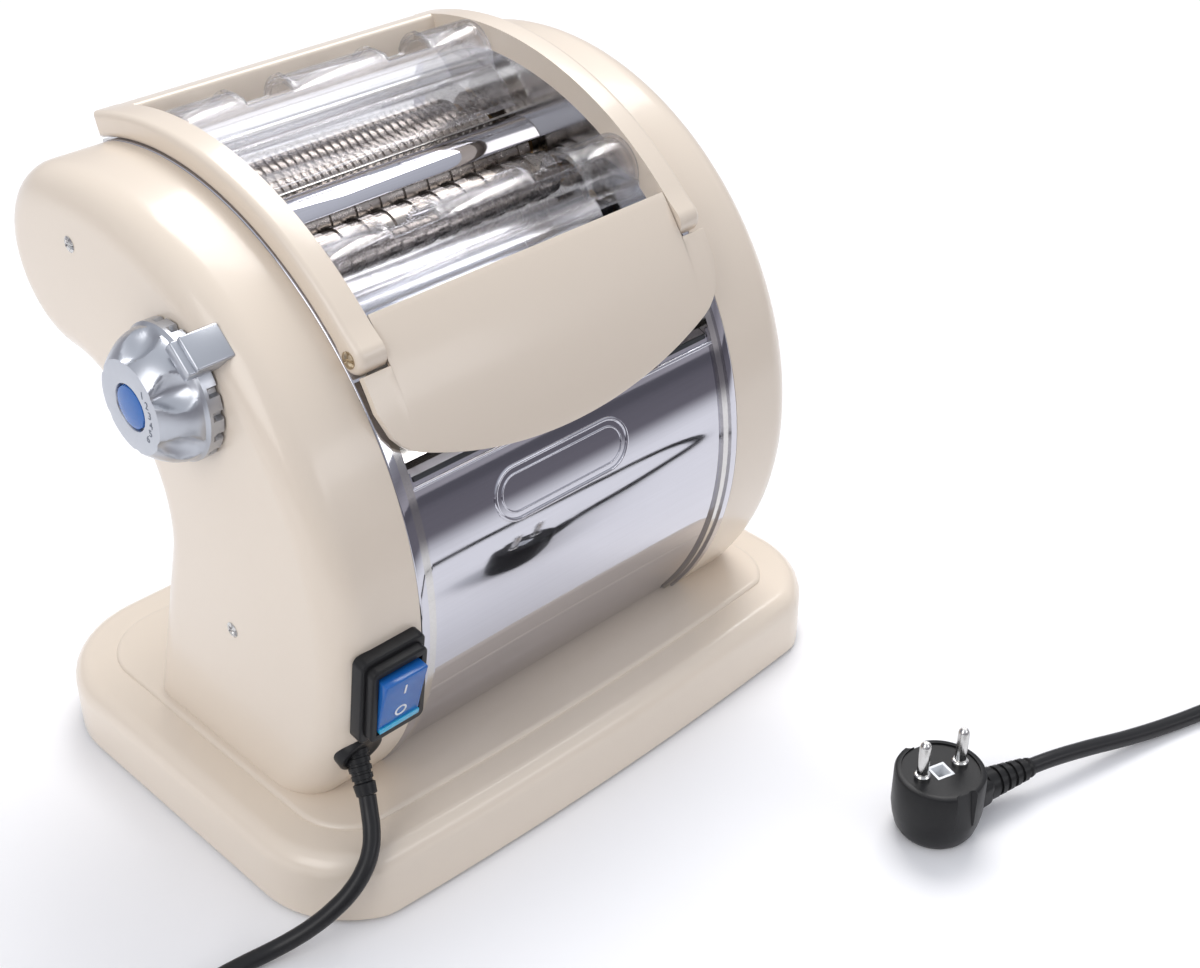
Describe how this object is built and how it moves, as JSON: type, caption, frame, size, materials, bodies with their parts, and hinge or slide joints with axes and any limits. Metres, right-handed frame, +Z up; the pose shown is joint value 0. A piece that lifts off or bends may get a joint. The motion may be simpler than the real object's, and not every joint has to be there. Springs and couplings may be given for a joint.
{
  "type": "pasta roller machine",
  "caption": "Motor-driven countertop pasta machine with adjustable sheet rollers, wide and fine cutters, hinged apron, clear guards, thickness dial, rocker switch and mains lead.",
  "frame": {"origin": "centre of the footprint of the machine without its cord, on the surface it stands on", "axes": "+X along the rollers away from the thickness dial, +Y to the back, +Z up"},
  "size_m": [0.5025, 0.4725, 0.277],
  "materials": {
    "cream_enamel": "satin gloss cream",
    "chrome": "mirror polished",
    "clear_plastic": "clear moulded",
    "roller_steel": "satin ground",
    "dial_silver": "satin lacquered",
    "blue_plastic": "glossy translucent",
    "bronze": "plain bearing",
    "gear_nylon": "moulded nylon",
    "dark_steel": "painted",
    "black_plastic": "fine grained",
    "rubber": "matt",
    "zinc": "zinc plated",
    "comb_steel": "stamped"
  },
  "bodies": {
    "frame": {"base": "cream_enamel", "base_plate": "dark_steel", "feet": "rubber", "left_housing": "cream_enamel", "right_housing": "cream_enamel", "left_side_plate": "chrome", "right_side_plate": "chrome", "left_trim": "chrome", "right_trim": "chrome", "tie_rods": "zinc", "front_panel": "chrome", "rear_panel": "chrome", "front_chute": "chrome", "rear_chute": "chrome", "top_frame": "cream_enamel", "pivot_screws": "zinc", "cutter_cover": "chrome", "fine_comb": "comb_steel", "bushes": "bronze", "dial_bush": "bronze", "index_block": "dial_silver", "idler_stud": "zinc", "motor": "dark_steel", "motor_screws": "zinc", "switch_frame": "black_plastic", "cord_gland": "black_plastic", "power_cord": "rubber", "cord_coil": "rubber", "cord_tie": "black_plastic", "plug_body": "black_plastic", "plug_pins": "zinc", "plug_relief": "black_plastic", "housing_screws": "zinc", "base_screws": "zinc"},
    "apron": {"apron": "cream_enamel"},
    "front_guard": {"front_guard": "clear_plastic"},
    "rear_guard": {"rear_guard": "clear_plastic"},
    "sheet_front": {"front_roller": "roller_steel", "front_roller_gear": "gear_nylon"},
    "carriage": {"roller_blocks": "dark_steel", "block_bushes": "bronze"},
    "sheet_rear": {"rear_roller": "roller_steel", "rear_roller_gear": "gear_nylon"},
    "dial_shaft": {"dial_shaft": "zinc"},
    "dial": {"dial_knob": "dial_silver", "dial_insert": "blue_plastic", "dial_spring": "zinc"},
    "wide_front": {"wide_cutter_front": "roller_steel", "wide_front_gear": "gear_nylon"},
    "wide_rear": {"wide_cutter_rear": "roller_steel", "wide_rear_gear": "gear_nylon"},
    "fine_front": {"fine_cutter_front": "roller_steel", "fine_front_gear": "gear_nylon"},
    "fine_rear": {"fine_cutter_rear": "roller_steel", "fine_rear_gear": "gear_nylon"},
    "idler": {"idler_gear": "gear_nylon"},
    "pinion": {"motor_pinion": "gear_nylon"},
    "rocker": {"switch_rocker": "blue_plastic"}
  },
  "joints": [
    {"name": "drive", "type": "hinge", "parent": "frame", "child": "pinion", "pos_m": [0, -0.00859, 0.14869], "axis": [1, 0, 0], "continuous": true},
    {"name": "idler_turn", "type": "hinge", "parent": "frame", "child": "idler", "pos_m": [0, -0.00859, 0.18649], "axis": [1, 0, 0], "continuous": true},
    {"name": "front_roller_turn", "type": "hinge", "parent": "frame", "child": "sheet_front", "pos_m": [0, -0.042, 0.207], "axis": [1, 0, 0], "continuous": true},
    {"name": "gap_slide", "type": "slide", "parent": "frame", "child": "carriage", "axis": [0, -1, 0], "range_m": [0, 0.002]},
    {"name": "rear_roller_turn", "type": "hinge", "parent": "carriage", "child": "sheet_rear", "pos_m": [0, -0.0138, 0.207], "axis": [1, 0, 0], "continuous": true},
    {"name": "wide_front_turn", "type": "hinge", "parent": "frame", "child": "wide_front", "pos_m": [0, 0.01, 0.221], "axis": [1, 0, 0], "continuous": true},
    {"name": "wide_rear_turn", "type": "hinge", "parent": "frame", "child": "wide_rear", "pos_m": [0, 0.02961, 0.22625], "axis": [1, 0, 0], "continuous": true},
    {"name": "fine_front_turn", "type": "hinge", "parent": "frame", "child": "fine_front", "pos_m": [0, 0.053, 0.228], "axis": [1, 0, 0], "continuous": true},
    {"name": "fine_rear_turn", "type": "hinge", "parent": "frame", "child": "fine_rear", "pos_m": [0, 0.07322, 0.22623], "axis": [1, 0, 0], "continuous": true},
    {"name": "dial_turn", "type": "hinge", "parent": "frame", "child": "dial_shaft", "pos_m": [0, -0.0138, 0.207], "axis": [1, 0, 0], "range_deg": [0, 150]},
    {"name": "dial_pull", "type": "slide", "parent": "dial_shaft", "child": "dial", "axis": [-1, 0, 0], "range_m": [0, 0.0035], "stiffness_N_per_m": 900, "springref_m": -0.002},
    {"name": "apron_hinge", "type": "hinge", "parent": "frame", "child": "apron", "pos_m": [0, -0.0625, 0.2217], "axis": [-1, 0, 0], "range_deg": [0, 60]},
    {"name": "front_guard_turn", "type": "hinge", "parent": "frame", "child": "front_guard", "pos_m": [0, -0.032, 0.237], "axis": [-1, 0, 0], "range_deg": [0, 80]},
    {"name": "rear_guard_turn", "type": "hinge", "parent": "frame", "child": "rear_guard", "pos_m": [0, 0.056, 0.263], "axis": [-1, 0, 0], "range_deg": [0, 80]},
    {"name": "switch_rock", "type": "hinge", "parent": "frame", "child": "rocker", "pos_m": [0, -0.0962, 0.10116], "axis": [1, 0, 0], "range_deg": [0, 12]}
  ],
  "couplings": [
    {"joint": "idler_turn", "follows": "drive", "ratio": -0.35},
    {"joint": "front_roller_turn", "follows": "drive", "ratio": 0.875},
    {"joint": "rear_roller_turn", "follows": "drive", "ratio": -0.875},
    {"joint": "wide_front_turn", "follows": "drive", "ratio": 0.875},
    {"joint": "wide_rear_turn", "follows": "drive", "ratio": -0.875},
    {"joint": "fine_front_turn", "follows": "drive", "ratio": 0.875},
    {"joint": "fine_rear_turn", "follows": "drive", "ratio": -0.875},
    {"joint": "dial_turn", "follows": "gap_slide", "rad_per_m": 1309}
  ]
}
